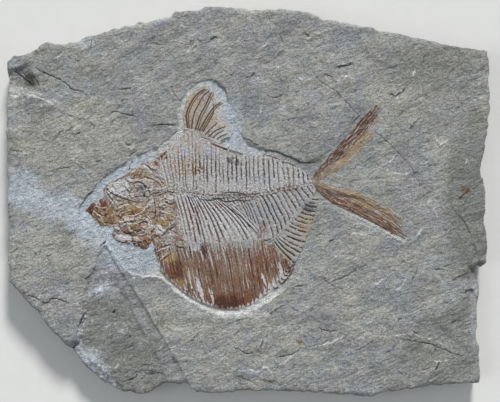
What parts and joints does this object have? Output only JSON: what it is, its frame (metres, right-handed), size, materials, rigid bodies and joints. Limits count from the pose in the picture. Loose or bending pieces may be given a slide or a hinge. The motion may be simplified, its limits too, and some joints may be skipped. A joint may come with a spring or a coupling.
{
  "type": "fossil fish slab",
  "caption": "Broken limestone slab with a deep-bodied fossil fish in low relief in a shallow worked hollow; it lies flat on its back for display or study.",
  "frame": {"origin": "middle of the slab's flat underside, at the centre of its bounding box", "axes": "+X along the slab's length from the fish's snout to its tail, +Y across it from the belly to the back, +Z out of the fish face"},
  "size_m": [0.2434, 0.1966, 0.0144],
  "materials": {
    "limestone": "rough split face, greenish grey to buff",
    "pale_bone": "matt, pale lilac grey with brown stains",
    "brown_bone": "satin, orange brown to dark red brown",
    "fin_bone": "satin, ochre to brown rays"
  },
  "bodies": {
    "root": {"slab": "limestone", "skull": "pale_bone", "jaws": "brown_bone", "gill_cover": "pale_bone", "throat_bone": "brown_bone", "shoulder_bones": "pale_bone", "backbone": "pale_bone", "back_spines": "pale_bone", "ribs": "pale_bone", "belly_keel": "brown_bone", "anal_fin": "pale_bone", "dorsal_fin": "fin_bone", "upper_tail_lobe": "fin_bone", "lower_tail_lobe": "fin_bone"}
  },
  "joints": []
}
